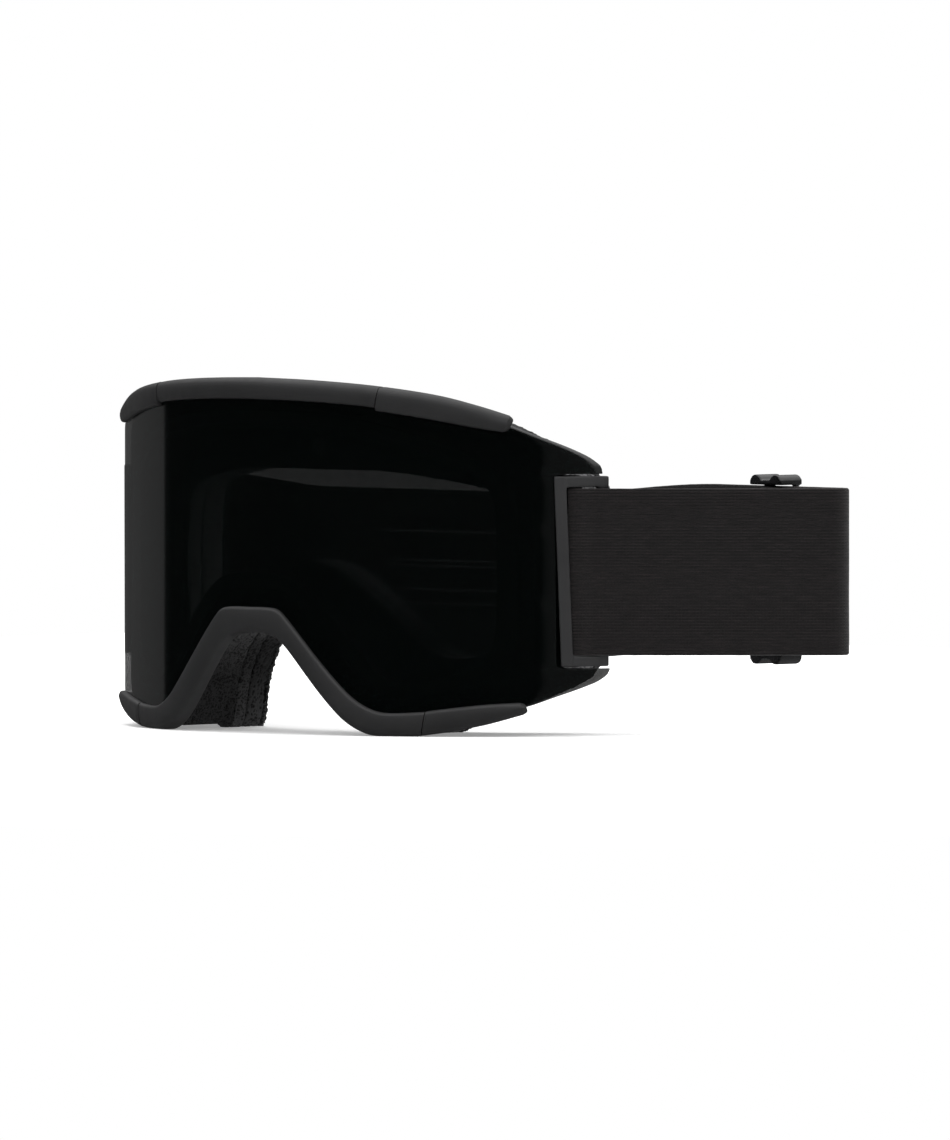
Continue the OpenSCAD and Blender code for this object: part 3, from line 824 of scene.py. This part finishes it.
def tails():
    """Each tail goes round its bracket's bar and back along the strap to its adjuster."""
    end = back(LEFT_AT - 10.4, LAYER)
    left = arc(BAR, WRAP, NEAR - 168, NEAR - 270, 14) + settling(near)
    left += line(near(16, LAYER), near(NEAR_LEN, LAYER))
    left += arc(FOLD, FOLD_R - LAYER, NEAR - 90, BACK - 90, 16)[:-1] + line(back(0, LAYER), end) + [end]
    ribbon("tail_webbing_left", left, TAIL_W, "goggles", "strap_tail_left", seed=11, wave=0.03)
    end = beside(RIGHT_AT - 9.5, LAYER)
    right = arc(RIGHT_BAR, WRAP, SIDE - 87, SIDE + 90, 20) + settling(beside)
    right += line(beside(15, LAYER), end) + [end]
    ribbon("tail_webbing_right", right, TAIL_W, "goggles", "strap_tail_right", seed=23, wave=0.03)


def stitches(name, place, body):
    """Two lines of lockstitch through the folded end."""
    verts, faces = [], []
    face = SEWN + T / 2 + 0.06
    for x in (-11.2, -13.0):
        for k in range(15):
            base = len(verts)
            for dz, r in ((-0.95, 0.05), (-0.7, 0.2), (0, 0.26), (0.7, 0.2), (0.95, 0.05)):
                for j in range(6):
                    a = j * math.pi / 3
                    p = place(x + r * math.cos(a), face + 0.5 * r * math.sin(a))
                    verts.append(W(p.x, p.y, Z - 21 + k * 3.0 + dz))
            faces += tube_faces([[base + i * 6 + j for j in range(6)] for i in range(5)])
    put(name, verts, faces, THREAD, body)


def end_loop(side, at, heading, flip, leg):
    """The tail's end, turned round the adjuster's middle bar and sewn down to itself."""
    bar_at, r = 4.05, 1.2 + 0.15 + T / 2
    ex, ey = h(heading), h(heading + 90) * flip

    def place(x, y):
        return at + ex * x + ey * y

    pts = [(-6.8, LAYER), (-4.9, LAYER), (-3, LAYER)]
    angles = [math.radians(-90 + 180 * k / 16) for k in range(17)]
    pts += [(r * math.cos(a), bar_at + r * math.sin(a)) for a in angles]
    pts += smooth([(-0.6, bar_at + r), (-3.4, bar_at + r - 0.7), (-7.4, SEWN + 0.4), (-9.4, SEWN)])
    pts += [(-9.4 - (leg - 9.4) * k / 8, SEWN) for k in range(1, 9)]
    path = [place(x, y) for x, y in pts]
    ribbon("end_loop_" + side, path, TAIL_W, "adjuster_" + side, "strap_end_loop_" + side, seed=31, wave=0.0)
    stitches("stitches_" + side, place, "adjuster_" + side)


def silicone_lines():
    """Five printed lines on the strap's inner side."""
    verts, faces = [], []
    first, length, n = 60, 130, 90
    for z0 in (-9.4, -5.3, 1.8, 3.3, 12.0):
        rows = []
        for i in range(n + 1):
            s = first + length * i / n
            proud = 0.5 * min(1.0, min(i, n - i) / 2 + 0.15)
            row = []
            for a in (0, 0.6, 1.2, QUARTER, 1.94, 2.54, math.pi):
                p = back(s, T / 2 + 0.04 + proud * math.sin(a))
                wander = 0.04 * noise.noise(Vector((s, z0, 0)))
                row.append(len(verts))
                verts.append(W(p.x, p.y, Z - sag(p) + z0 + 0.5 * math.cos(a) + wander))
            rows.append(row)
        faces += tube_faces(rows)
    put("silicone_lines", verts, faces, SILICONE, "goggles", ("strap_grip_beads",))


strap()
tails()
end_loop("left", back(LEFT_AT, 0), BACK, 1, 22.5)
end_loop("right", beside(RIGHT_AT, 0), SIDE + 180, -1, 20.0)
silicone_lines()


# ---------------------------------------------------------------- stage, light and camera, in metres
def floor():
    me = bpy.data.meshes.new("floor")
    s = 0.62
    me.from_pydata([(-s, -s, 0), (s, -s, 0), (s, s, 0), (-s, s, 0)], [], [(0, 1, 2, 3)])
    o = bpy.data.objects.new("floor", me)
    bpy.context.scene.collection.objects.link(o)
    m, nt, bsdf = material("floor_paper")
    paper = ramp(nt, noise_tex(nt, coords(nt), 8, 3), [(0.3, (0.9, 0.9, 0.9)), (0.7, (0.93, 0.93, 0.93))])
    nt.links.new(paper, bsdf.inputs["Base Color"])
    bsdf.inputs["Roughness"].default_value = 0.9
    bsdf.inputs["Specular IOR Level"].default_value = 0.1
    bsdf.inputs["Emission Color"].default_value = (1, 1, 1, 1)
    bsdf.inputs["Emission Strength"].default_value = 0.26
    me.materials.append(m)
    o.visible_glossy = False


def softbox():
    """A square softbox overhead that the lens doesn't reflect."""
    light = bpy.data.lights.new("softbox_top", "AREA")
    light.shape = "RECTANGLE"
    light.size = light.size_y = 1.3
    light.energy = 16
    o = bpy.data.objects.new("softbox_top", light)
    bpy.context.scene.collection.objects.link(o)
    o.location = (-0.1, 0.1, 1.5)
    o.rotation_mode = "QUATERNION"
    o.rotation_quaternion = (-o.location).to_track_quat("-Z", "Y")
    o.visible_camera = False
    o.visible_glossy = False


def reflected(nt, direction):
    """What polished surfaces see: black flags in front, a panel behind, a dim wall aside and light above."""
    turn = node(nt, "ShaderNodeMapRange")
    nt.links.new(number(nt, "ARCTAN2", direction["Y"], direction["X"]), turn.inputs["Value"])
    turn.inputs["From Min"].default_value = -math.pi
    turn.inputs["From Max"].default_value = math.pi
    greys = ((-180, 0.2), (-175, 0.2), (-174.2, 0.012), (-60, 0.012), (-33.5, 0.018), (-32, 0.11),
             (-10, 0.13), (25, 0.22), (90, 0.25), (130, 0.05), (150, 0.09), (180, 0.2))
    horizon = ramp(nt, turn.outputs["Result"], [((heading + 180) / 360, grey) for heading, grey in greys])
    both = node(nt, "ShaderNodeMix", data_type="RGBA")
    nt.links.new(ramp(nt, direction["Z"], [(0.3, 0.0), (0.75, 1.0)]), both.inputs["Factor"])
    nt.links.new(horizon, both.inputs[MIX_A])
    both.inputs[MIX_B].default_value = (1.5, 1.5, 1.5, 1)
    return both.outputs[MIX_RESULT]


def background(nt, colour):
    n = nt.nodes.new("ShaderNodeBackground")
    nt.links.new(colour, n.inputs["Color"])
    return n.outputs[0]


def mixed(nt, fac, first, second):
    n = nt.nodes.new("ShaderNodeMixShader")
    for value, socket in zip((fac, first, second), n.inputs):
        nt.links.new(value, socket)
    return n.outputs[0]


def studio():
    """Soft light, separate surroundings for reflections, and a white backdrop, darker through the lenses."""
    world = bpy.data.worlds.new("studio")
    bpy.context.scene.world = world
    world.use_nodes = True
    nt = world.node_tree
    nt.nodes.clear()
    out = nt.nodes.new("ShaderNodeOutputWorld")
    tc = nt.nodes.new("ShaderNodeTexCoord")
    ray = nt.nodes.new("ShaderNodeLightPath")
    direction = split(nt, tc.outputs["Generated"])
    soft = background(nt, ramp(nt, direction["Z"], [(0.0, 0.24), (0.25, 0.42), (0.9, 1.6)]))
    mirror = background(nt, reflected(nt, direction))
    seen = background(nt, ramp(nt, ray.outputs["Transparent Depth"], [(0.0, 1.0), (1.0, 0.36)]))
    lighting = mixed(nt, ray.outputs["Is Glossy Ray"], soft, mirror)
    nt.links.new(mixed(nt, ray.outputs["Is Camera Ray"], lighting, seen), out.inputs["Surface"])
    bpy.context.scene.view_settings.view_transform = "Standard"


def camera():
    """A long lens from the wearer's front left, just above the level."""
    azimuth, elevation, distance = math.radians(41), math.radians(1.9), 12.0
    cam = bpy.data.objects.new("camera", bpy.data.cameras.new("camera"))
    bpy.context.scene.collection.objects.link(cam)
    cam.data.lens = 1277.2
    cam.data.sensor_width = 36
    cam.data.clip_start = 0.5
    cam.data.clip_end = 60
    level = math.cos(elevation)
    away = Vector((math.sin(azimuth) * level, -math.cos(azimuth) * level, math.sin(elevation)))
    cam.location = W(-3.87, -3.37, 45.5) + away * distance
    cam.rotation_mode = "QUATERNION"
    cam.rotation_quaternion = (-away).to_track_quat("-Z", "Y")
    bpy.context.scene.camera = cam


floor()
softbox()
studio()
camera()
